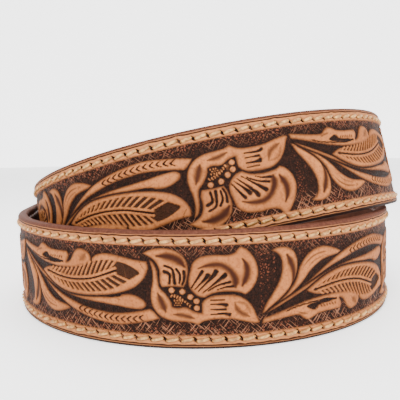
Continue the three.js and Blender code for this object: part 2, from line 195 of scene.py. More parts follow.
OUTLINES = {
    "hook_leaf": [
        (0.4, 8.5, 1), (2, 5), (4.5, 1.5), (6.8, -2.5), (7.6, -6), (7.2, -9), (5.8, -10.8), (3.7, -11.8, 1),
        (6.3, -12.8), (9.3, -12.6), (12, -11), (13.3, -8), (13.2, -4.5), (12, -1), (9.2, 2.2), (5.5, 5.2),
        (2, 7.8)],
    "bent_leaf": [
        (3, 7.2, 1), (7, 4.4), (10, 1.8), (12.7, -1.8), (14.2, -6), (17, -9.4), (20.5, -11.2), (24, -11.6),
        (28, -10.7), (31.4, -9.3), (32.2, -8.5), (30.8, -8), (27, -7.6), (23.5, -6.9), (20.5, -5.4),
        (18, -3.5), (15.5, -0.8), (12, 2.2), (8, 4.9)],
    "arrow_leaf": [
        (6, 6.2, 1), (10, 3.8), (14, 1.2), (18, -0.9), (21.5, -3.1), (25.5, -5.4), (30, -7.6), (35, -9.5),
        (40, -10.8), (46, -11.8), (52, -12.1), (57, -11.4), (62, -10.4), (66.5, -9.2, 1), (65.2, -7.4),
        (63.3, -5.9, 1), (60, -6.7), (56, -7.5), (51, -8.1), (46, -8), (40, -7.4), (34, -6.1), (28, -4.5),
        (22, -2.2), (16, 0.8), (10, 4.4)],
    "bud_stem": [
        (1, 8.8, 1), (6, 6.7), (12, 4), (18, 1.4), (24, -0.6), (30, -2), (38, -2.8), (44, -2.9), (48, -3),
        (51.5, -2.5), (54.8, -1.6), (58, -1.7), (61, -3.1), (62, -4.8), (60.8, -6.2), (58, -6.5), (52, -5.9),
        (46, -5.5), (40, -5.2), (34, -4.6), (28, -3.5), (22, -1.6), (16, 0.8), (10, 3.7), (5, 6.2)],
    "feather_leaf": [
        (16.5, 2.5, 1), (18.5, 3.6), (21.5, 4.5), (26, 4.8), (32, 5.3), (37, 6.3), (41, 7.7), (42.6, 9.4),
        (45, 10.9), (49, 11.4), (54, 10.7), (58, 9.9), (62.6, 9.4, 1), (63, 7), (61.6, 3.8), (58.5, 0.8),
        (54.5, -1), (50, -2.2), (45, -3), (38, -3.6), (31, -3.4), (25, -1.9), (20, 0.4)],
    "curly_leaf": [
        (0.4, 11.7, 1), (5, 11), (10, 10.4), (13.5, 10.3), (15.2, 11.5), (17, 12.4), (19, 12), (21.5, 11.1),
        (25, 10.8), (29, 10.9), (31.4, 10.9, 1), (32.3, 9.5), (31.9, 8.2), (31.2, 7.1, 1), (32.8, 7.9),
        (34, 9.6), (35.2, 11.2), (36.6, 12.2), (38.6, 12.3), (40.8, 11.6), (42.2, 10), (42.1, 8.3),
        (40.6, 7),
        (37.5, 6), (34, 5.3), (28, 4.9), (22, 5.1), (16, 5.9), (10, 7.3), (5, 8.7), (0.8, 9.8, 1)],
    "calyx": [
        (63.2, 10.2, 1), (64.2, 6.5), (64.2, 3), (63.6, 0), (63.5, -3), (64.4, -6), (66.6, -8.4),
        (70, -9.8), (74, -10.1), (76.6, -10.4), (78.3, -11.1, 1), (80.5, -9.8), (84, -9.3), (89, -9.5),
        (93, -10.5), (96.3, -11.3), (98, -11, 1), (97, -8.8), (95.8, -6), (93.8, -3.5), (91, -1.8),
        (88, -1.3), (84, -1.4), (81, -2.3), (79.6, -3.9, 1), (79.5, -7, 1), (77.2, -6.4), (74.7, -5.1),
        (72, -5.4), (70.5, -5, 1), (70, -3.2), (68.4, -0.8), (66.6, 1.1), (66.2, 3.4), (65.8, 6.4),
        (64.8, 8.9)],
    "near_petal": [
        (61, 11.8, 1), (63, 12.9), (66, 13.7), (69, 13.7), (72, 12.8), (74.4, 10.9), (75.6, 8.2), (75.6, 5),
        (74.9, 2.4), (74.2, 1.1, 1), (71, 1.3), (67.2, 1.1, 1), (66.5, 3), (66.6, 6), (65.7, 8.6),
        (63.9, 10.4)],
    "great_petal": [
        (77, 9), (79.5, 10.9), (83.5, 11.5), (87.5, 11.3), (90, 11.9), (91, 13.1), (92.2, 13.8, 1),
        (94.2, 12.6), (96.4, 9.8), (97.6, 6), (97.2, 3), (96, 0.6), (94.5, -1), (93.2, -1.8, 1), (91, -0.9),
        (87, -0.5), (83.2, -1), (80.6, -2.3, 1), (78.6, -1.8), (76.8, -0.3), (75.7, 1.6), (75.6, 3.6),
        (76.2, 6.4)],
}

# Cuts and soft marks on top of the shapes: points, width at each end, depth, how dark
CUTS = [
    ([(10.6, 1.2), (11.8, -2.5), (11.4, -6), (9.4, -10)], 0.8, 2.8, 0.28, 0.68),
    ([(15, -5), (17.5, -7.6), (21, -9.2), (26, -9.7)], 0.7, 0.4, 0.15, 0.5),
    ([(16.8, -4.6), (19.4, -7), (24.5, -8.6)], 0.5, 0.4, 0.12, 0.4),
    ([(46, -3.2), (50, -2.9), (53, -2.3)], 0.25, 0.6, 0.25, 0.9),
    ([(51, -2.9), (53.6, -3.8)], 0.5, 0.3, 0.12, 0.4),
    ([(9, 8.4), (13, 7.3), (19, 6.6), (25, 6.4), (29.5, 7.1)], 0.35, 0.6, 0.25, 0.9),
    ([(12.5, 8.7), (14.5, 9.6), (17, 10.2)], 0.4, 0.8, 0.15, 0.5),
    ([(37.6, 8.2), (39.2, 9.4), (40.2, 10.6)], 2.0, 2.2, 0.14, 0.42),
    ([(65.8, 11.1), (69.5, 11), (72.6, 9.9), (74.6, 7.8)], 2.2, 3.0, 0.3, 0.7),
    ([(68.2, 6.2), (69.9, 5.3), (69.7, 2.4)], 1.3, 0.8, 0.4, 1.0),
    ([(68.3, 8.1), (70.8, 6.8), (71.4, 2.5)], 0.7, 1.2, 0.4, 1.0),
    ([(72, 7.1), (73.1, 5.2), (72.9, 2.6)], 0.8, 0.7, 0.4, 1.0),
    ([(74.3, 6.3), (74.4, 4), (73.7, 2.0)], 1.1, 0.7, 0.4, 1.0),
    ([(78.8, 7.2), (82, 8.1), (86, 8), (89, 5.8), (90.4, 3)], 1.5, 2.2, 0.28, 0.66),
    ([(88.2, 6.7), (89.9, 4.2), (90.2, 2.6), (90.2, 0.9)], 1.8, 2.6, 0.3, 0.7),
    ([(92.5, 9.8), (93.6, 8), (94.0, 6), (93.6, 3.8), (92.3, 1.2)], 1.9, 2.3, 0.3, 0.7),
    ([(80, 6.2), (78.1, 3.4), (76.6, 1.1)], 1.2, 0.4, 0.4, 1.0),
    ([(81.7, 5), (80.6, 3.6), (77.6, 0.5)], 1.6, 0.3, 0.4, 1.0),
    ([(84.2, 6.1), (83, 4.4), (78.6, -0.1)], 1.7, 0.3, 0.4, 1.0),
    ([(87.0, 4.9), (85.4, 3.6), (80, -0.6)], 1.6, 0.3, 0.4, 1.0),
    ([(88.5, 2.6), (85, 1.8), (81.6, 0)], 0.9, 0.4, 0.35, 1.0),
    ([(89.4, 1.2), (86.8, 1), (84.4, 0.2)], 1.0, 0.3, 0.35, 1.0),
    ([(82.3, -3), (86.6, -3)], 0.35, 0.5, 0.2, 0.8),
    ([(82.3, -4.3), (85.5, -4.35), (87.2, -4.7)], 0.35, 1.4, 0.25, 0.9),
    ([(82.3, -6), (87, -6)], 0.35, 0.9, 0.25, 0.9),
    ([(82.3, -7.5), (86.5, -7.4), (88.2, -7.9)], 0.35, 1.2, 0.25, 0.9),
    ([(89.8, -4), (91, -6.8), (94.4, -8.8)], 1.4, 1.7, 0.2, 0.55),
    ([(90.2, -3.8), (93.5, -4.8), (94.8, -8)], 1.1, 1.2, 0.15, 0.4),
    ([(65.9, -0.8), (67.2, -3.8), (68.3, -6.6)], 1.9, 2.5, 0.22, 0.65),
    ([(70.8, -7.5), (74, -7.8), (77.2, -8.8)], 1.4, 1.4, 0.18, 0.6),
    ([(59, 11.6), (61, 7.6), (62.3, 6.2)], 0.2, 0.25, 0.06, 0.6),
    ([(53.5, 11.1), (52.6, 9.2)], 0.2, 0.25, 0.05, 0.45),
]
CURLY_EYE = [
    (16.5, 7.7), (18.8, 9.2), (20.6, 9.3), (21.6, 8.2), (24, 7.8), (27, 7.6), (29.2, 7.1), (25, 6.6),
    (20, 6.8)]
MIDRIB = [(20.5, 2.6), (28, 1.6), (35, 1.5), (42, 2.5), (47, 4.1), (51.5, 5.8)]
FEATHER_ROOF = [
    (19.5, 2.9), (23, 4.1), (28, 4.3), (33, 4.8), (38, 6.1), (42, 7.9), (46, 9.0), (50.5, 9.2), (54, 8.7),
    (57, 7.7), (60.2, 5.6)]
FEATHER_FLOOR = [
    (19.5, 2.3), (23, 0.6), (28, -1.0), (33, -2.0), (39, -2.2), (44, -1.8), (49, -0.7), (53, 0.9),
    (56.2, 2.7), (58.6, 4.3)]
ARROW_LINE = [(30, -5.9), (35, -7.9), (40, -9), (46, -9.8), (52, -10), (57, -9.6), (60, -9)]
SEED_BED = [
    (66.8, 1.1, 1), (70.5, 1.3), (74.4, 1.1, 1), (76.9, -0.5), (79.6, -2.7, 1), (79.6, -6.9, 1),
    (77.2, -6.3), (74.7, -5), (72, -5.3), (70.7, -4.9, 1), (70.1, -3.1), (68.5, -0.7)]
PEARLS = [(70.3, 0.2), (73.7, -0.2), (76.1, -1.9), (78, -3.3), (78.1, -5.5)]
SEED_RAYS = [
    (70.4, -1.3), (71.3, -1.45), (72.2, -1.7), (73, -2.1), (73.8, -2.6), (74.6, -3.2), (75.3, -3.9),
    (76, -4.6)]

GRID_U = -GRID_MARGIN + (np.arange(int((UNIT + 2 * GRID_MARGIN) * CELLS)) + 0.5) / CELLS
GRID_V = -FIELD_HALF + (np.arange(int(2 * FIELD_HALF * CELLS)) + 0.5) / CELLS
CURVE_STEP = 0.4
REACH = 3.0


def curve(points, closed=False):
    """A smooth curve through the points, as a dense polyline."""
    n = len(points)
    p = np.array([q[:2] for q in points], float)
    sharp = [len(q) > 2 for q in points]
    pieces = []
    for i in range(n if closed else n - 1):
        a, b = p[i], p[(i + 1) % n]
        before = p[(i - 1) % n] if (closed or i > 0) and not sharp[i] else a
        after = p[(i + 2) % n] if (closed or i + 2 < n) and not sharp[(i + 1) % n] else b
        leave, arrive = (b - before) / 2, (after - a) / 2
        m = max(2, int(np.hypot(*(b - a)) / CURVE_STEP))
        k = (np.arange(m) / m)[:, None]
        start, end = 2 * k**3 - 3 * k**2 + 1, 3 * k**2 - 2 * k**3
        pieces.append(start * a + (k**3 - 2 * k**2 + k) * leave + end * b + (k**3 - k**2) * arrive)
    if not closed:
        pieces.append(p[-1:])
    return np.concatenate(pieces)


def nearest(poly, reach, closed=False):
    """Distance to a polyline and the share of its length there, out to a reach, on the repeat's grid."""
    distance = np.full((len(GRID_U), len(GRID_V)), float(reach))
    share = np.zeros_like(distance)
    starts = poly if closed else poly[:-1]
    ends = np.roll(poly, -1, 0) if closed else poly[1:]
    sizes = np.hypot(*(ends - starts).T)
    run = np.concatenate([[0], np.cumsum(sizes)])
    for a, b, size, before in zip(starts, ends, sizes, run):
        low, high = np.minimum(a, b) - reach, np.maximum(a, b) + reach
        i0, i1 = np.searchsorted(GRID_U, [low[0], high[0]])
        j0, j1 = np.searchsorted(GRID_V, [low[1], high[1]])
        if i0 >= i1 or j0 >= j1:
            continue
        x, y = GRID_U[i0:i1, None] - a[0], GRID_V[None, j0:j1] - a[1]
        e = b - a
        k = np.clip((x * e[0] + y * e[1]) / max(e @ e, 1e-12), 0, 1)
        d = np.hypot(x - k * e[0], y - k * e[1])
        window = distance[i0:i1, j0:j1]
        closer = d < window
        window[closer] = d[closer]
        share[i0:i1, j0:j1][closer] = ((before + k * size) / run[-1])[closer]
    return distance, share


def signed(points):
    """Distance to a closed outline, out to REACH: positive inside it, negative outside."""
    poly = curve(points, closed=True)
    distance, _ = nearest(poly, REACH, closed=True)
    inside = np.zeros(distance.shape, bool)
    for a, b in zip(poly, np.roll(poly, -1, 0)):
        j0, j1 = np.searchsorted(GRID_V, sorted((a[1], b[1])))
        if j0 < j1:
            x = a[0] + (GRID_V[j0:j1] - a[1]) * (b[0] - a[0]) / (b[1] - a[1])
            inside[:, j0:j1] ^= GRID_U[:, None] < x[None]
    return np.where(inside, distance, -distance)


# Heights of the relief in millimetres: ground, the line pressed round a shape, and the deepest cut
BACKGROUND = -0.55
PRESSED = -0.5
DEEPEST = -0.95
# A shape: its height, and from its outline outwards and inwards where it is pressed, rounded, dyed, and
# where shade is painted
SHAPE_TOP = -0.04
PRESSED_WIDTH = 1.5
ROUNDED = (-0.3, 1.3)
ROUNDED_DROP = 0.32
DYE_OUTSIDE = (0.25, 0.65)
DYE_INSIDE = 0.22
# Painted shade along a shape's outline, partly the tooled bevel's own darkening: how far inside it reaches,
# and how dark it is outside and inside
SHADE_INSIDE = 1.4
OUTER_SHADE = 0.8
INNER_SHADE = 0.7
GROUND_FROM = (0.2, 0.9)
# A hollow inside a shape
PIT_DEPTH = 0.42
PIT_WALL = (-0.2, 0.4)
PIT_DYE = (-0.15, 0.15)
RAISED = 0.1
# A cut darker than DYED_CUT takes dye, and its width swells towards its wide end
DYED_CUT = 0.7
SWELLING = 1.8
CUT_WALL = (0.3, 1.3)
CUT_DYE = (0.8, 1.2)
# A soft mark thins to a share of its width over the first and the last part of its length
THIN_END = 0.3
THIN_FIRST = 0.35
THIN_LAST = 0.25
SOFT_WIDTH = 2.3
MARK_GAIN = 1.35
# What stands up in a hollow
RIDGE_REACH = 1.5
RIDGE_TOP = -0.12
RIDGE_WALL = (0.5, 1.4)
RIDGE_DYE = (0.8, 1.3)
RIDGE_SHADE = 0.15
RIB_TOP = -0.06
PEARL_TOP = -0.1
BEAD_DYE = 0.75


class Repeat:
    """Heights of the carved repeat, its dye, its tool marks with painted shade, and where the open ground
    lies.
    """

    def __init__(self):
        shape = (len(GRID_U), len(GRID_V))
        self.height = np.full(shape, BACKGROUND)
        self.dye = np.ones(shape)
        self.mark = np.zeros(shape)
        self.open = np.ones(shape)

    def shape(self, points):
        """A raised shape with a rounded edge. What lies beside it is pressed down along its outline, and
        shade is painted along the outline on both sides.
        """
        d = signed(points)
        inside = d >= 0
        beside = smooth(-d, 0, PRESSED_WIDTH)
        pressed = np.minimum(self.height, PRESSED - PRESSED * beside)
        rounded = SHAPE_TOP - ROUNDED_DROP * (1 - smooth(d, *ROUNDED))
        self.height = np.where(inside, rounded, pressed)
        dye_beside = np.maximum(self.dye, 1 - smooth(-d, *DYE_OUTSIDE))
        self.dye = np.where(inside, 1 - smooth(d, 0.0, DYE_INSIDE), dye_beside)
        # Painted shade beside and just inside the outline, partly the tooled bevel's own darkening
        marks_and_shade_beside = np.maximum(self.mark, OUTER_SHADE * (1 - beside))
        self.mark = np.where(inside, INNER_SHADE * (1 - smooth(d, 0.0, SHADE_INSIDE)), marks_and_shade_beside)
        self.open = np.where(inside, 0, np.minimum(self.open, smooth(-d, *GROUND_FROM)))

    def pit(self, points, dark):
        """A dyed hollow inside a shape."""
        d = signed(points)
        self.height -= PIT_DEPTH * smooth(d, *PIT_WALL) * (self.height > BACKGROUND + RAISED)
        self.dye = np.maximum(self.dye, dark * smooth(d, *PIT_DYE))

    def cut(self, points, width_start, width_end, depth, dark):
        """A tapering cut. A light one only browns the leather, a dark one takes dye."""
        d, share = nearest(curve(points), REACH)
        if dark > DYED_CUT:
            widens = width_end > width_start
            share = share ** SWELLING if widens else 1 - (1 - share) ** SWELLING
        half = (width_start + (width_end - width_start) * share) / 2
        if dark > DYED_CUT:
            inside = 1 - smooth(d, half * CUT_WALL[0], half * CUT_WALL[1])
            self.dye = np.maximum(self.dye, 1 - smooth(d, half * CUT_DYE[0], half * CUT_DYE[1]))
        else:
            taper = smooth(share, 0, THIN_FIRST) * smooth(1 - share, 0, THIN_LAST)
            half *= THIN_END + (1 - THIN_END) * taper
            inside = 1 - smooth(d, 0, half * SOFT_WIDTH)
        self.height -= depth * inside
        self.mark = np.maximum(self.mark, min(1, dark * MARK_GAIN) * inside)

    def ridge(self, points, width_start, width_end, top=RIDGE_TOP):
        """A tapering tan ridge left standing in a hollow."""
        d, share = nearest(curve(points), RIDGE_REACH)
        half = (width_start + (width_end - width_start) * share) / 2
        inside = 1 - smooth(d, half * RIDGE_WALL[0], half * RIDGE_WALL[1])
        self.height = np.maximum(self.height, BACKGROUND + (top - BACKGROUND) * inside)
        self.dye = np.minimum(self.dye, smooth(d, half * RIDGE_DYE[0], half * RIDGE_DYE[1]))
        self.mark = np.where(d < half, RIDGE_SHADE, self.mark)

    def bead(self, u, v, radius, top):
        """A tan dome left standing on the ground."""
        d = np.hypot(GRID_U[:, None] - u, GRID_V[None] - v)
        dome = np.sqrt(np.clip(1 - (d / radius) ** 2, 0, 1))
        self.height = np.maximum(self.height, BACKGROUND + (top - BACKGROUND) * dome)
        self.dye = np.minimum(self.dye, smooth(d, radius * BEAD_DYE, radius))
        self.mark = np.where(d < radius, 0.0, self.mark)


def at_u(poly, u):
    return np.interp(u, poly[:, 0], poly[:, 1])


# The feathered leaf's ridges. A row starts on the rib and ends on the leaf's rim, at u and over a run of u
FEATHER_CUTS = 15
FEATHER_DARK = 0.95
FEATHER_ROWS = [
    {"rim": FEATHER_ROOF, "side": 1, "start": 21.4, "start_run": 27.5, "end": 23.6, "end_run": 28.6,
     "lean": 0.2},
    {"rim": FEATHER_FLOOR, "side": -1, "start": 22, "start_run": 28.5, "end": 23.8, "end_run": 32.8,
     "lean": 0.15},
]
RIB_GAP = 0.5
RIM_OVERLAP = 0.3
RIB_SIDE = 0.75


def feather_cuts(repeat):
    """The sunk middle of the feathered leaf, the slanting ridges on both sides, and its midrib."""
    rib = curve(MIDRIB)
    repeat.pit(FEATHER_ROOF + FEATHER_FLOOR[::-1], FEATHER_DARK)
    for row in FEATHER_ROWS:
        rim, side = curve(row["rim"]), row["side"]
        for i in range(FEATHER_CUTS):
            k = i / (FEATHER_CUTS - 1)
            start = row["start"] + row["start_run"] * k
            end = row["end"] + row["end_run"] * k
            near, far = at_u(rib, start) + side * RIB_GAP, at_u(rim, end) + side * RIM_OVERLAP
            middle = ((start + end) / 2 - row["lean"], (near + far) / 2)
            repeat.ridge([(start, near), middle, (end, far)], 0.5, 0.75)
    for side in (1, -1):
        repeat.ridge([(u, v + side * RIB_SIDE) for u, v in MIDRIB], 0.6, 0.9, RIB_TOP)
    repeat.cut(MIDRIB, 0.3, 0.75, 0.3, 1.0)


ARROW_COUNT = 12
ARROW_START = 36.5
ARROW_PITCH = 2.1


def arrow_cuts(repeat):
    """The row of small arrowheads down the lowest leaf."""
    line = curve(ARROW_LINE)
    for i in range(ARROW_COUNT):
        u = ARROW_START + ARROW_PITCH * i
        v = at_u(line, u)
        repeat.cut([(u + 1.4, v + 1.05), (u + 0.5, v + 0.5), (u, v)], 0.3, 0.65, 0.25, 0.8)
        repeat.cut([(u, v), (u + 0.5, v - 0.5), (u + 1.4, v - 1.0)], 0.65, 0.3, 0.25, 0.8)


TOOTH_COUNT = 6
TOOTH_START = 22.2
TOOTH_PITCH = 1.25


def fringe_cuts(repeat):
    """The curly leaf's eye, with small teeth over it."""
    repeat.pit(CURLY_EYE, 1.0)
    for i in range(TOOTH_COUNT):
        u = TOOTH_START + TOOTH_PITCH * i
        repeat.cut([(u, 7.9), (u + 0.9, 9.0)], 0.8, 0.3, 0.2, 0.6)


PEARL_RADIUS = 0.95
RAY_RADIUS = 0.23
RAY_TOP = -0.2
RAY_STEPS = (0, 0.25, 0.5)
# Fine seeds lie in staggered rows, inside a round patch: its middle, its height's share and its radius
SEED_RADIUS = 0.27
SEED_TOP = -0.15
SEED_COLUMNS = 5
SEED_ROWS = 3
SEED_CORNER = (71.2, -3.1)
SEED_PITCH = (0.85, 0.75)
SEED_STAGGER = 0.4
PATCH_MIDDLE = (70.6, -1.5)
PATCH_SQUASH = 0.8
PATCH_RADIUS = 3.6


def seed_centre(repeat):
    """The dark seed bed with its pearls, short rays and fine seeds."""
    inside = signed(SEED_BED) > 0
    repeat.height = np.where(inside, BACKGROUND, repeat.height)
    repeat.dye = np.where(inside, 1, repeat.dye)
    repeat.open = np.where(inside, 0, repeat.open)
    for u, v in PEARLS:
        repeat.bead(u, v, PEARL_RADIUS, PEARL_TOP)
    for u, v in SEED_RAYS:
        for k in RAY_STEPS:
            repeat.bead(u - k * 0.5, v - k, RAY_RADIUS, RAY_TOP)
    for i in range(SEED_COLUMNS):
        for j in range(SEED_ROWS):
            u = SEED_CORNER[0] + SEED_PITCH[0] * i + SEED_STAGGER * (j % 2)
            v = SEED_CORNER[1] - SEED_PITCH[1] * j
            if np.hypot(u - PATCH_MIDDLE[0], (v - PATCH_MIDDLE[1]) * PATCH_SQUASH) < PATCH_RADIUS:
                repeat.bead(u, v, SEED_RADIUS, SEED_TOP)


def carve():
    """The whole repeat. What comes later lies over what comes before."""
    repeat = Repeat()
    for name in ("hook_leaf", "bent_leaf", "arrow_leaf", "bud_stem", "feather_leaf", "curly_leaf"):
        repeat.shape(OUTLINES[name])
    feather_cuts(repeat)
    arrow_cuts(repeat)
    for name in ("calyx", "near_petal", "great_petal"):
        repeat.shape(OUTLINES[name])
    seed_centre(repeat)
    for cut in CUTS:
        repeat.cut(*cut)
    fringe_cuts(repeat)
    repeat.height = np.maximum(repeat.height, DEEPEST)
    return repeat


# Where the repeats that the photo shows start along the strap, from the plan angles of their knots
FIRST_LOWER = length_at(-59.6)
SECOND_LOWER = length_at(13.1)
FIRST_UPPER = length_at(306.4)
SECOND_UPPER = length_at(379.0)


def unit_starts():
    gap = (FIRST_UPPER - SECOND_LOWER) / 4
    starts = [FIRST_LOWER, SECOND_LOWER]
    starts += [SECOND_LOWER + gap * k for k in (1, 2, 3)]
    starts += [FIRST_UPPER, SECOND_UPPER, SECOND_UPPER + UNIT]
    starts = [FIRST_LOWER - UNIT] + starts + [SECOND_UPPER + 2 * UNIT, SECOND_UPPER + 3 * UNIT]
    return np.array(starts)


STARTS = unit_starts()
# The upper front repeat was tooled a little tighter at its knot: u as carved, and where it lies
UPPER_STRETCH = [(0, -4), (32, 27), (62, 60.6), (80, 79.4), (98, 98)]
UPPER_REPEAT = 6
UPPER_TALLER = 1.06
UPPER_DROP = 0.45


def sample(grid, u, v):
    i = np.clip((u - GRID_U[0]) * CELLS, 0, len(GRID_U) - 1.001)
    j = np.clip((v - GRID_V[0]) * CELLS, 0, len(GRID_V) - 1.001)
    i0, j0 = i.astype(int), j.astype(int)
    fi, fj = i - i0, j - j0
    near = grid[i0, j0] * (1 - fj) + grid[i0, j0 + 1] * fj
    far = grid[i0 + 1, j0] * (1 - fj) + grid[i0 + 1, j0 + 1] * fj
    return near * (1 - fi) + far * fi


def pattern(repeat, s, v):
    """Height, dye, tool marks with painted shade, and open ground of the tooled face at lengths s and places
    v across.
    """
    k = np.clip(np.searchsorted(STARTS, s, side="right") - 1, 0, len(STARTS) - 2)
    u = (s - STARTS[k]) / (STARTS[k + 1] - STARTS[k]) * UNIT
    carved, lies = np.array(UPPER_STRETCH, float).T
    u = np.where(k == UPPER_REPEAT, np.interp(u, lies, carved), u)
    flower = (k == UPPER_REPEAT) * smooth(u, 60, 68) * (1 - smooth(u, 92, 97))
    carved_v = v + flower * ((v + UPPER_DROP) / UPPER_TALLER - v)
    flip = np.where(k % 2 == 1, 1.0, -1.0)
    grids = (repeat.height, repeat.dye, repeat.mark, repeat.open)
    height, dye, mark, ground = (sample(g, u, carved_v * flip) for g in grids)
    ends = smooth(s, FIELD_START, FIELD_START + FIELD_RUN_OUT)
    ends = ends * (1 - smooth(s, FIELD_END, FIELD_END + FIELD_RUN_OUT))
    wall = smooth(np.abs(v), STRAP_WIDTH / 2 - BORDER_WIDTH - 0.35, STRAP_WIDTH / 2 - BORDER_WIDTH + 0.35)
    inside = ends * (1 - wall)
    before = (s < STARTS[0]) | (s > STARTS[-1])
    height = np.where(before, BACKGROUND, height)
    dye = np.where(before, 1, dye)
    ground = np.where(before, 1, ground)
    return height * inside, dye * inside, mark * inside, ground * inside


STITCH_PITCH = 4.77
STITCH_LINE = 15.75
STITCH_MARGIN = 6.0
CREASE = 17.7


def profile():
    """The section's points from the front face round the back, n and v, and how many are on the front."""
    r = EDGE_RADIUS
    w, t = STRAP_WIDTH / 2 - r, STRAP_THICKNESS / 2
    front = np.linspace(-w, w, 109)
    points = [(t, v) for v in front]
    turn = np.radians(np.linspace(0, 90, 6))[1:]
    points += [(t - r + r * math.cos(a), w + r * math.sin(a)) for a in turn]
    points += [(-t + r, w + r)]
    points += [(-t + r - r * math.sin(a), w + r * math.cos(a)) for a in turn]
    points += [(-t, v) for v in np.linspace(w, -w, 15)[1:]]
    points += [(-t + r - r * math.cos(a), -w - r * math.sin(a)) for a in turn]
    points += [(t - r, -w - r)]
    points += [(t - r + r * math.sin(a), -w - r * math.cos(a)) for a in turn[:-1]]
    return np.array(points), len(front)


PROFILE, FRONT = profile()


def rings(s, shift_n, shift_s, turn, thickness, half_width, height):
    """Rings of points for stations along the strap. height is the front face's own relief."""
    centre, along, out, across = frames(angle_at(s))
    middle = centre + out * shift_n[:, None] + along * shift_s[:, None]
    outward = out * np.cos(turn)[:, None] - along * np.sin(turn)[:, None]
    n = PROFILE[None, :, 0] * (thickness / STRAP_THICKNESS)[:, None]
    n[:, :FRONT] += height
    v = PROFILE[None, :, 1] * (half_width / (STRAP_WIDTH / 2))[:, None]
    return middle[:, None] + outward[:, None] * n[..., None] + across[:, None] * v[..., None]


def fold_offset(s):
    return FOLD_AT_BAR + (FOLD_FLAT - FOLD_AT_BAR) * smooth(s, FOLD_HUG, FOLD_HUG + FOLD_CLOSING)


def strap_points(repeat):
    half = STRAP_WIDTH / 2
    none = lambda s: np.zeros((len(s), FRONT))
    parts, lengths, acrosses, turned = [], [], [], []

    def add(s, n, ds, turn, thickness, width, height):
        parts.append(rings(s, n, ds, turn, thickness, width, height))
        lengths.append(np.repeat(s[:, None], PROFILE.shape[0], 1))
        acrosses.append(np.repeat(PROFILE[None, :, 1], len(s), 0))
        turned.append(np.repeat(turn[:, None] / math.pi, PROFILE.shape[0], 1))

    s = np.arange(FOLD_RETURN, 1, -1.5)
    one = np.ones(len(s))
    add(s, -fold_offset(s), 0 * one, math.pi * one, FOLD_THICKNESS * one, half * one, none(s))
    turn = np.linspace(math.pi, 0, 17)
    one = np.ones(len(turn))
    bend = (FOLD_AT_BAR * np.cos(turn), -FOLD_AT_BAR * np.sin(turn), turn)
    add(0 * one, *bend, FOLD_THICKNESS * one, half * one, none(turn))
    s = np.arange(2.0, 49.0, 1.5)
    one = np.ones(len(s))
    add(s, fold_offset(s), 0 * one, 0 * one, FOLD_THICKNESS * one, half * one, none(s))
    bounds = [49.6, length_at(-100.0), length_at(80.0), length_at(272.0), length_at(442.0), FIELD_END + 4]
    steps = [0.55, 0.36, 0.55, 0.36, 0.55, 1.6]
    tip_start = STRAP_LENGTH - TIP_LENGTH
    spots = []
    for start, end, step in zip(bounds, bounds[1:] + [tip_start], steps):
        spots.append(np.arange(start, end, step))
    s = np.concatenate(spots)
    one = np.ones(len(s))
    back = smooth(s, FOLD_RETURN + FOLD_HUG, FOLD_RETURN + FOLD_HUG + FOLD_BLEND)
    height = pattern(repeat, s[:, None], np.repeat(PROFILE[None, :FRONT, 1], len(s), 0))[0]
    height -= 0.8 * hole_mask(s[:, None] + 0 * height, PROFILE[None, :FRONT, 1] + 0 * height)
    height -= 0.22 * np.exp(-((np.abs(PROFILE[None, :FRONT, 1]) - STITCH_LINE) / 0.5) ** 2)
    thickness = FOLD_THICKNESS + (STRAP_THICKNESS - FOLD_THICKNESS) * back
    add(s, fold_offset(s) * (1 - back), 0 * one, 0 * one, thickness, half * one, height)
    share = np.linspace(0, 1, 25)
    s = tip_start + TIP_LENGTH * share
    one = np.ones(len(s))
    width = half_width_at(s)
    add(s, 0 * one, 0 * one, 0 * one, STRAP_THICKNESS * one, width, none(s))
    return [np.concatenate(each) for each in (parts, lengths, acrosses, turned)]


def loft_mesh(name, points):
    """A closed mesh through rings of points, capped at both ends. Points are metres."""
    count, ring, _ = points.shape
    flat = points.reshape(-1, 3)
    i, j = np.meshgrid(np.arange(count - 1), np.arange(ring), indexing="ij")
    k = (j + 1) % ring
    quads = np.stack([i * ring + j, (i + 1) * ring + j, (i + 1) * ring + k, i * ring + k], -1).reshape(-1, 4)
    hubs = np.stack([points[0].mean(0), points[-1].mean(0)])
    j = np.arange(ring)
    k = (j + 1) % ring
    first = np.stack([np.full(ring, len(flat)), j, k], -1)
    last_ring = (count - 1) * ring
    last = np.stack([np.full(ring, len(flat) + 1), last_ring + k, last_ring + j], -1)
    vertices = np.concatenate([flat, hubs])
    triangles = np.concatenate([first, last])
    mesh = bpy.data.meshes.new(name)
    mesh.vertices.add(len(vertices))
    mesh.vertices.foreach_set("co", vertices.astype(np.float32).ravel())
    loops = np.concatenate([quads.ravel(), triangles.ravel()])
    mesh.loops.add(len(loops))
    mesh.loops.foreach_set("vertex_index", loops.astype(np.int32))
    starts = np.concatenate([np.arange(len(quads)) * 4, len(quads) * 4 + np.arange(len(triangles)) * 3])
    mesh.polygons.add(len(starts))
    mesh.polygons.foreach_set("loop_start", starts.astype(np.int32))
    mesh.update(calc_edges=True)
    mesh.validate()
    return mesh


def set_floats(mesh, name, values):
    attribute = mesh.attributes.get(name) or mesh.attributes.new(name, "FLOAT", "POINT")
    attribute.data.foreach_set("value", np.asarray(values, np.float32))


def get_floats(mesh, name):
    values = np.zeros(len(mesh.vertices), np.float32)
    mesh.attributes[name].data.foreach_get("value", values)
    return values


def apply_modifiers(obj):
    graph = bpy.context.evaluated_depsgraph_get()
    shown = obj.evaluated_get(graph)
    done = bpy.data.meshes.new_from_object(shown, preserve_all_data_layers=True, depsgraph=graph)
    obj.modifiers.clear()
    old = obj.data
    obj.data = done
    bpy.data.meshes.remove(old)


def add_object(name, data):
    obj = bpy.data.objects.new(name, data)
    bpy.context.scene.collection.objects.link(obj)
    return obj


TRIANGLES = 190000


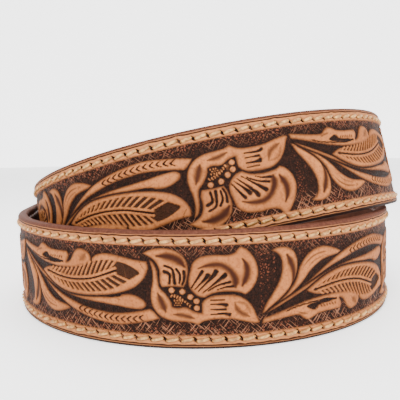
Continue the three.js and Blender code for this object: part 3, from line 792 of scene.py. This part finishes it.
def build_strap(repeat):
    points, lengths, acrosses, turned = strap_points(repeat)
    low = points.reshape(-1, 3).min(0)
    box_low, box_high = (np.array(c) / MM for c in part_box("strap"))
    high = points.reshape(-1, 3).max(0)
    shift = (box_low + box_high - low - high) / 2
    shift[2] = box_low[2] - low[2]
    mesh = loft_mesh("strap_tooled", (points + shift) * MM)
    pad = [0.0, 0.0]
    set_floats(mesh, "along", np.concatenate([lengths.ravel(), pad]))
    set_floats(mesh, "across", np.concatenate([acrosses.ravel(), pad]))
    set_floats(mesh, "turned", np.concatenate([turned.ravel(), [1.0, 0.0]]))
    facing = np.zeros(PROFILE.shape[0])
    facing[:FRONT] = 1
    set_floats(mesh, "front", np.concatenate([np.tile(facing, len(points)), pad]))
    obj = add_object("strap_tooled", mesh)
    modifier = obj.modifiers.new("fewer", "DECIMATE")
    modifier.ratio = TRIANGLES / (2 * len(mesh.polygons))
    modifier.vertex_group = spare_group(obj, repeat).name
    modifier.vertex_group_factor = KEEP_STRENGTH
    apply_modifiers(obj)
    cut_holes(obj, shift)
    return obj, shift


KEEP_STRENGTH = 1e-5
SPARE_LEVELS = 8


def spare_group(obj, repeat):
    """A vertex group of how freely each vertex may go: least where dye, soft marks and painted shade fade on
    the front.
    """
    mesh = obj.data
    along, across, front = (get_floats(mesh, n).astype(float) for n in ("along", "across", "front"))
    _, dye, mark, _ = pattern(repeat, along, across)
    keep = np.clip(4 * dye * (1 - dye) + 3 * mark * (mark > 0.04) * (1 - dye), 0, 1) * front
    seen = (along > length_at(-100)) & (along < length_at(80))
    seen |= (along > length_at(272)) & (along < length_at(442))
    plain = (along > FIELD_END + FIELD_RUN_OUT) | (along < FIELD_START - 1)
    front_width = STRAP_WIDTH - 2 * EDGE_RADIUS
    column = np.round((across + STRAP_WIDTH / 2 - EDGE_RADIUS) * (FRONT - 1) / front_width)
    spare = np.where(plain, (column % 9 > 0) & (front > 0.5), 1 - keep * np.where(seen, 1.0, 0.35))
    group = obj.vertex_groups.new(name="spare")
    level = np.round(spare * SPARE_LEVELS).astype(int)
    for k in range(SPARE_LEVELS + 1):
        group.add(np.nonzero(level == k)[0].tolist(), k / SPARE_LEVELS, "REPLACE")
    return group


def cut_holes(obj, shift):
    """The five punched holes, the prong's slot and the two rivet holes, cut in one go."""
    bm = bmesh.new()
    tip_holes = [STRAP_LENGTH - FIRST_HOLE - i * HOLE_SPACING for i in range(HOLE_COUNT)]
    round_holes = [(s, HOLE_RADIUS, 8) for s in tip_holes] + [(s, RIVET_HOLE, 8) for s in RIVET_PLACES]
    for s, radius, depth in round_holes + [(0.0, None, 12)]:
        centre, along, out, across = (q[0] for q in frames(angle_at(np.array([s]))))
        place = (centre + shift) * MM
        matrix = Matrix([[along[r], across[r], out[r], place[r]] for r in range(3)] + [[0, 0, 0, 1]])
        if radius:
            bmesh.ops.create_cone(bm, cap_ends=True, segments=32, radius1=radius * MM, radius2=radius * MM,
                                  depth=depth * MM, matrix=matrix)
        else:
            size = Matrix.Diagonal((SLOT_LENGTH * MM, SLOT_WIDTH * MM, depth * MM, 1))
            bmesh.ops.create_cube(bm, size=1, matrix=matrix @ size)
    mesh = bpy.data.meshes.new("cutters")
    bm.to_mesh(mesh)
    bm.free()
    cutter = add_object("cutters", mesh)
    modifier = obj.modifiers.new("holes", "BOOLEAN")
    modifier.operation = "DIFFERENCE"
    modifier.solver = "MANIFOLD"
    modifier.object = cutter
    apply_modifiers(obj)
    bpy.data.objects.remove(cutter)


def retouch(obj, repeat):
    """Dye, tool marks with painted shade, and open ground at the vertices, from where each one lies on the
    strap.
    """
    mesh = obj.data
    along, across = (get_floats(mesh, n).astype(float) for n in ("along", "across"))
    values = pattern(repeat, along, across)
    for name, value in zip(("dye", "mark", "open"), values[1:]):
        set_floats(mesh, name, value)
    mesh.shade_smooth()


def half_width_at(s):
    share = (s - (STRAP_LENGTH - TIP_LENGTH)) / TIP_LENGTH
    shape = curve([(x * TIP_LENGTH, y * STRAP_WIDTH / 2) for x, y in TIP_SHAPE])
    return np.interp(share * TIP_LENGTH, shape[:, 0], shape[:, 1])


UPPER_HOLES = length_at(-96.0) + 100.5
LOWER_HOLES = length_at(-96.0) + 106.5


def hole_mask(s, v):
    """How deep in a needle hole each place is, on both rows."""
    mask = np.zeros_like(s)
    for row, phase in ((1, UPPER_HOLES), (-1, LOWER_HOLES)):
        k = np.round((s - phase) / STITCH_PITCH)
        ds = s - phase - k * STITCH_PITCH
        dv = v - row * STITCH_LINE
        slant = ds + 0.5 * dv
        mask = np.maximum(mask, 1 - smooth(np.hypot(slant / 0.6, dv / 1.0), 0.7, 1.4))
    return mask * (s > FIELD_START) * (s < FIELD_END + FIELD_RUN_OUT)


THREAD_SIDES = 6


def tube(path, radii):
    """Rings of points round a path."""
    along = np.gradient(path, axis=0)
    along /= np.linalg.norm(along, axis=1, keepdims=True)
    side = np.cross(along, [0.31, 0.2, 0.93])
    side /= np.linalg.norm(side, axis=1, keepdims=True)
    up = np.cross(side, along)
    a = np.arange(THREAD_SIDES) * 2 * math.pi / THREAD_SIDES
    ring = side[:, None] * np.cos(a)[None, :, None] + up[:, None] * np.sin(a)[None, :, None]
    return path[:, None] + ring * radii[:, None, None]


def join_tubes(name, tubes):
    """One mesh from many closed tubes with the same rings. Points are metres."""
    count, rings_each, sides, _ = tubes.shape
    i, j = np.meshgrid(np.arange(rings_each - 1), np.arange(sides), indexing="ij")
    k = (j + 1) % sides
    near, far = i * sides, (i + 1) * sides
    quads = np.stack([near + j, near + k, far + k, far + j], -1).reshape(-1, 4)
    caps = [list(range(sides))[::-1], [(rings_each - 1) * sides + q for q in range(sides)]]
    each = rings_each * sides
    faces = []
    for n in range(count):
        faces += (quads + n * each).tolist()
        faces += [[q + n * each for q in cap] for cap in caps]
    mesh = bpy.data.meshes.new(name)
    mesh.from_pydata(tubes.reshape(-1, 3).tolist(), [], faces)
    mesh.shade_smooth()
    return mesh


def stitch_span(phase):
    """The numbers of a row's first and last needle hole."""
    first = math.ceil((STITCH_MARGIN - phase) / STITCH_PITCH)
    last = math.floor((STRAP_LENGTH - STITCH_MARGIN - phase) / STITCH_PITCH)
    return first, last


def stitch_rows(name, row, phase, face, shift):
    """A row of slanting stitches. face is 1 on the front and -1 on the back."""
    first, last = stitch_span(phase)
    k = np.linspace(0, 1, 7)
    radii = 0.56 * np.array([0.7, 0.93, 1.0, 1.0, 1.0, 0.93, 0.7])
    tubes = []
    for i in range(first, last):
        hole = phase + i * STITCH_PITCH
        s = hole + 0.6 + (STITCH_PITCH - 1.1) * k
        v = row * (half_width_at(s) - STRAP_WIDTH / 2 + STITCH_LINE) + face * (-0.42 + 0.84 * k)
        centre, _, out, across = frames(angle_at(s))
        fold = smooth(s, FOLD_RETURN + FOLD_HUG, FOLD_RETURN + FOLD_HUG + FOLD_BLEND)
        thick = FOLD_THICKNESS + (STRAP_THICKNESS - FOLD_THICKNESS) * fold
        n = fold_offset(s) * (1 - fold) + face * (thick / 2 - 0.25 + 0.42 * np.sin(math.pi * k) ** 0.6)
        path = centre + out * n[:, None] + across * v[:, None] + shift
        tubes.append(tube(path, radii))
    return add_object(name, join_tubes(name, np.array(tubes) * MM))


def linear(red, green, blue):
    """A colour given as 0-255 screen values."""
    colour = (red, green, blue)
    return tuple(((c / 255 + 0.055) / 1.055) ** 2.4 if c > 10 else c / 255 / 12.92 for c in colour) + (1,)


class Nodes:
    """Short calls for building one material."""

    def __init__(self, name):
        self.material = bpy.data.materials.new(name)
        self.material.use_nodes = True
        self.tree = self.material.node_tree
        self.shader = self.tree.nodes["Principled BSDF"]

    def node(self, kind, settings=None, **inputs):
        node = self.tree.nodes.new(kind)
        for key, value in (settings or {}).items():
            setattr(node, key, value)
        for key, value in inputs.items():
            numbered = key[0] == "i" and key[1:].isdigit()
            self.put(node.inputs[int(key[1:])] if numbered else node.inputs[key], value)
        return node

    def put(self, socket, value):
        if hasattr(value, "links") or hasattr(value, "is_output"):
            self.tree.links.new(value, socket)
        else:
            socket.default_value = value

    def attribute(self, name):
        return self.node("ShaderNodeAttribute", {"attribute_name": name}).outputs["Fac"]

    def math(self, operation, a, b=0.0):
        return self.node("ShaderNodeMath", {"operation": operation}, i0=a, i1=b).outputs[0]

    def mix(self, factor, a, b):
        return self.node("ShaderNodeMix", {"data_type": "RGBA"}, i0=factor, i6=a, i7=b).outputs[2]

    def ramp(self, value, low, high):
        settings = {"interpolation_type": "SMOOTHSTEP"}
        return self.node("ShaderNodeMapRange", settings, i0=value, i1=low, i2=high).outputs[0]

    def noise(self, vector, scale, detail=3.0, roughness=0.5):
        return self.node("ShaderNodeTexNoise", None, Vector=vector, Scale=scale, Detail=detail,
                         Roughness=roughness).outputs["Fac"]

    def voronoi(self, vector, scale, feature="F1"):
        node = self.node("ShaderNodeTexVoronoi", {"feature": feature}, Vector=vector, Scale=scale)
        return node.outputs["Distance"]

    def bump(self, height, distance, strength, normal=None):
        node = self.node("ShaderNodeBump", None, Height=height, Distance=distance, Strength=strength)
        if normal:
            self.put(node.inputs["Normal"], normal)
        return node.outputs["Normal"]


def needle_holes(m, along, across):
    """The stitches' needle holes on both rows, where shade is painted: 1 in a hole, 0 beside it."""
    masks = []
    for row, phase in ((1, UPPER_HOLES), (-1, LOWER_HOLES)):
        dv = m.math("SUBTRACT", across, row * STITCH_LINE)
        lean = m.math("ADD", m.math("SUBTRACT", along, phase), m.math("MULTIPLY", dv, 0.5))
        part = m.math("FRACT", m.math("ADD", m.math("DIVIDE", lean, STITCH_PITCH), 0.5))
        ds = m.math("MULTIPLY", m.math("SUBTRACT", part, 0.5), STITCH_PITCH / 0.6)
        far = m.math("ADD", m.math("MULTIPLY", ds, ds), m.math("MULTIPLY", dv, dv))
        first, last = (phase + n * STITCH_PITCH for n in stitch_span(phase))
        started = m.math("GREATER_THAN", along, first - 1)
        sewn = m.math("MULTIPLY", started, m.math("LESS_THAN", along, last + 1))
        masks.append(m.math("MULTIPLY", sewn, m.math("SUBTRACT", 1.0, m.ramp(far, 0.6, 1.2))))
    return m.math("MAXIMUM", *masks)


def outward_facing(m, place, turned):
    """1 on the tooled face, -1 on the back and 0 on the edges. The fold's return lies face in."""
    level = m.node("ShaderNodeVectorMath", {"operation": "MULTIPLY"}, i0=place, i1=(1, 1, 0)).outputs[0]
    radial = m.node("ShaderNodeVectorMath", {"operation": "NORMALIZE"}, i0=level).outputs[0]
    normal = m.node("ShaderNodeNewGeometry").outputs["True Normal"]
    dot = m.node("ShaderNodeVectorMath", {"operation": "DOT_PRODUCT"}, i0=normal, i1=radial)
    facing = dot.outputs["Value"]
    side = m.math("SUBTRACT", 1.0, m.math("MULTIPLY", turned, 2.0))
    return m.math("MULTIPLY", facing, side)


def leather():
    m = Nodes("tooled_leather")
    place = m.node("ShaderNodeTexCoord").outputs["Object"]
    dye, mark, ground, turned, along, across = (
        m.attribute(n) for n in ("dye", "mark", "open", "turned", "along", "across"))
    flat = m.node("ShaderNodeCombineXYZ", None, X=along, Y=across).outputs[0]
    off = m.math("ABSOLUTE", across)
    border = m.ramp(off, STRAP_WIDTH / 2 - BORDER_WIDTH, STRAP_WIDTH / 2 - BORDER_WIDTH + 0.5)
    # A dark line where the front face meets the rounded edge: partly a burnished crease, partly painted
    # shade in the crease
    beside_crease = m.math("ABSOLUTE", m.math("SUBTRACT", off, CREASE - 0.25))
    crease_and_shade = m.math("SUBTRACT", 1.0, m.ramp(beside_crease, 0.1, 0.4))
    mark = m.math("MAXIMUM", mark, crease_and_shade)
    holes = needle_holes(m, along, across)
    facing = outward_facing(m, place, turned)
    edge = m.math("MAXIMUM", m.ramp(off, CREASE, CREASE + 0.35),
                  m.math("SUBTRACT", 1.0, m.ramp(m.math("ABSOLUTE", facing), 0.15, 0.45)))

    blotch = m.ramp(m.noise(place, 60, 4, 0.6), 0.35, 0.65)
    fine = m.noise(place, 1100, 3, 0.6)
    pores = m.ramp(m.voronoi(place, 1500), 0.0, 0.35)
    tan = m.mix(blotch, linear(148, 90, 50), linear(168, 104, 58))
    tan = m.mix(m.ramp(fine, 0.4, 0.75), tan, linear(132, 76, 42))
    tan = m.mix(border, tan, m.mix(fine, linear(176, 116, 72), linear(146, 92, 54)))
    # Tool marks and painted shade along outlines darken the tan
    tan = m.mix(m.ramp(mark, 0.0, 1.0), tan, linear(44, 19, 10))

    patch = m.ramp(m.noise(flat, 0.09, 2, 0.5), 0.44, 0.56)
    # Stipple cells on the open ground, lighter and reddish on their tops in patches: painted highlight,
    # partly the ground's own reddish tone
    edges = m.voronoi(flat, 1.05, "DISTANCE_TO_EDGE")
    scale_tone_and_highlight = m.math("MULTIPLY", m.ramp(edges, 0.1, 0.3), m.math("ADD", 0.5, m.math("MULTIPLY", patch, 0.5)))
    dark = m.mix(m.ramp(fine, 0.35, 0.7), linear(20, 11, 7), linear(38, 20, 13))
    dark = m.mix(m.math("MULTIPLY", scale_tone_and_highlight, ground), dark, linear(118, 63, 43))

    streaks = []
    for turn in (0.9, -0.75):
        slanted = m.node("ShaderNodeMapping", {"vector_type": "TEXTURE"}, Vector=flat,
                         Rotation=(0, 0, turn), Scale=(6.0, 0.4, 1)).outputs[0]
        streaks.append(m.ramp(m.noise(slanted, 1.0, 1, 0.5), 0.6, 0.65))
    near_border = m.ramp(m.math("MULTIPLY", across, -1.0), 7.5, 11.5)
    near_top = m.math("MULTIPLY", m.ramp(across, 9.5, 13.0), 0.45)
    scratches = m.math("MULTIPLY", m.math("MAXIMUM", *streaks), m.math("MAXIMUM", near_border, near_top))
    dark = m.mix(m.math("MULTIPLY", scratches, 0.65), dark, linear(150, 100, 74))

    # Needle holes take the dark colour: painted shade inside the holes
    base = m.mix(m.math("MAXIMUM", dye, holes), tan, dark)
    rim = m.mix(m.ramp(fine, 0.35, 0.7), linear(70, 38, 27), linear(92, 54, 40))
    # The lower edge is painted darker: painted shade on the edge that faces down
    rim = m.mix(m.ramp(across, -2.0, 2.0), linear(36, 20, 15), rim)
    # The back's own brown, darkened with painted shade of the coil's inside
    back = m.mix(blotch, linear(50, 26, 17), linear(70, 38, 25))
    base = m.mix(m.ramp(facing, -0.1, 0.1), back, base)
    base = m.mix(edge, base, rim)
    m.put(m.shader.inputs["Base Color"], base)
    rough = m.math("ADD", 0.5, m.math("MULTIPLY", fine, 0.3))
    m.put(m.shader.inputs["Roughness"], rough)
    m.shader.inputs["Specular IOR Level"].default_value = 0.06
    grain = m.bump(m.math("ADD", fine, m.math("MULTIPLY", pores, 0.6)), 0.00008, 0.6)
    rough_field = m.math("MULTIPLY", m.math("ADD", m.ramp(edges, 0.05, 0.3), scratches), dye)
    m.put(m.shader.inputs["Normal"], m.bump(rough_field, 0.00025, 0.9, grain))
    return m.material


def thread(name, dark, light):
    m = Nodes(name)
    place = m.node("ShaderNodeTexCoord").outputs["Object"]
    tone = m.ramp(m.noise(place, 700, 3), 0.35, 0.65)
    m.put(m.shader.inputs["Base Color"], m.mix(tone, dark, light))
    m.shader.inputs["Roughness"].default_value = 0.5
    wave = m.node("ShaderNodeTexWave", {"wave_type": "BANDS"}, Vector=place, Scale=500.0, Distortion=1.0)
    m.put(m.shader.inputs["Normal"], m.bump(wave.outputs["Fac"], 0.0001, 0.6))
    return m.material


def metal():
    m = Nodes("plain_metal")
    place = m.node("ShaderNodeTexCoord").outputs["Object"]
    tone = m.noise(place, 300, 4)
    m.put(m.shader.inputs["Base Color"], m.mix(tone, linear(168, 162, 150), linear(196, 190, 178)))
    m.shader.inputs["Metallic"].default_value = 1.0
    m.put(m.shader.inputs["Roughness"], m.math("ADD", 0.24, m.math("MULTIPLY", tone, 0.2)))
    return m.material


def build_stage():
    mesh = bpy.data.meshes.new("floor")
    mesh.from_pydata([(-3, -3, 0), (3, -3, 0), (3, 3, 0), (-3, 3, 0)], [], [(0, 1, 2, 3)])
    floor = add_object("floor", mesh)
    paint = Nodes("pale_floor")
    paint.shader.inputs["Base Color"].default_value = linear(245, 245, 245)
    paint.shader.inputs["Roughness"].default_value = 0.9
    paint.shader.inputs["Emission Color"].default_value = (1, 1, 1, 1)
    paint.shader.inputs["Emission Strength"].default_value = 1.0
    floor.data.materials.append(paint.material)
    mesh = bpy.data.meshes.new("backdrop")
    mesh.from_pydata([(-4, 1.6, 0), (4, 1.6, 0), (4, 2.2, 3), (-4, 2.2, 3)], [], [(0, 1, 2, 3)])
    backdrop = add_object("backdrop", mesh)
    glow = Nodes("lit_backdrop")
    glow.shader.inputs["Base Color"].default_value = linear(245, 245, 245)
    glow.shader.inputs["Emission Color"].default_value = (1, 1, 1, 1)
    glow.shader.inputs["Emission Strength"].default_value = 2.4
    backdrop.data.materials.append(glow.material)
    world = bpy.data.worlds.new("studio")
    bpy.context.scene.world = world
    world.use_nodes = True
    world.node_tree.nodes["Background"].inputs["Color"].default_value = (1, 1, 1, 1)
    world.node_tree.nodes["Background"].inputs["Strength"].default_value = 1.0


LIGHT_TARGET = (0, 0, 0.03)


def area_light(name, place, size, energy):
    data = bpy.data.lights.new(name, "AREA")
    data.shape = "DISK"
    data.size = size
    data.energy = energy
    lamp = add_object(name, data)
    lamp.location = place
    lamp.rotation_euler = (Vector(LIGHT_TARGET) - Vector(place)).to_track_quat("-Z", "Y").to_euler()


FOCAL_LENGTH = 48.79
CAMERA_PLACE = (-4.169, -251.533, 64.711)
CAMERA_PITCH = 0.1032
CAMERA_YAW = -0.0008
CAMERA_ROLL = -0.0253


def build_camera():
    data = bpy.data.cameras.new("camera")
    data.lens = FOCAL_LENGTH
    data.sensor_width = 36
    data.clip_start = 0.01
    data.clip_end = 20
    forward = np.array([
        math.sin(CAMERA_YAW) * math.cos(CAMERA_PITCH), math.cos(CAMERA_YAW) * math.cos(CAMERA_PITCH),
        -math.sin(CAMERA_PITCH)])
    level = np.array([math.cos(CAMERA_YAW), -math.sin(CAMERA_YAW), 0])
    above = np.cross(level, forward)
    right = level * math.cos(CAMERA_ROLL) + above * math.sin(CAMERA_ROLL)
    up = -level * math.sin(CAMERA_ROLL) + above * math.cos(CAMERA_ROLL)
    camera = add_object("camera", data)
    columns = [*zip(right, up, -forward, np.array(CAMERA_PLACE) * MM), (0, 0, 0, 1)]
    camera.matrix_world = Matrix([list(map(float, c)) for c in columns])
    bpy.context.scene.camera = camera


def main():
    build_camera()
    build_stage()
    area_light("key", (-0.12, -0.6, 0.55), 0.35, 9)
    area_light("fill", (0.5, -0.4, 0.3), 0.5, 3)
    area_light("top", (0.0, 0.15, 0.7), 0.5, 4)
    repeat = carve()
    strap, shift = build_strap(repeat)
    retouch(strap, repeat)
    strap.data.materials.clear()
    strap.data.materials.append(leather())
    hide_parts("strap")
    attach(strap, "root")
    cream = thread("stitch_thread", linear(136, 90, 40), linear(194, 142, 76))
    brown = thread("stitch_thread_back", linear(60, 34, 21), linear(84, 48, 30))
    rows = [("stitches_front_upper", 1, UPPER_HOLES, 1), ("stitches_front_lower", -1, LOWER_HOLES, 1),
            ("stitches_back_upper", 1, UPPER_HOLES + STITCH_PITCH / 2, -1),
            ("stitches_back_lower", -1, LOWER_HOLES + STITCH_PITCH / 2, -1)]
    for name, row, phase, face in rows:
        stitches = stitch_rows(name, row, phase, face, shift)
        stitches.data.materials.append(cream if face == 1 else brown)
        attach(stitches, "root")
    steel = metal()
    for name in ("buckle", "rivet_near_bar", "rivet_far"):
        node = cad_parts[name]
        node.data.materials.clear()
        node.data.materials.append(steel)


main()
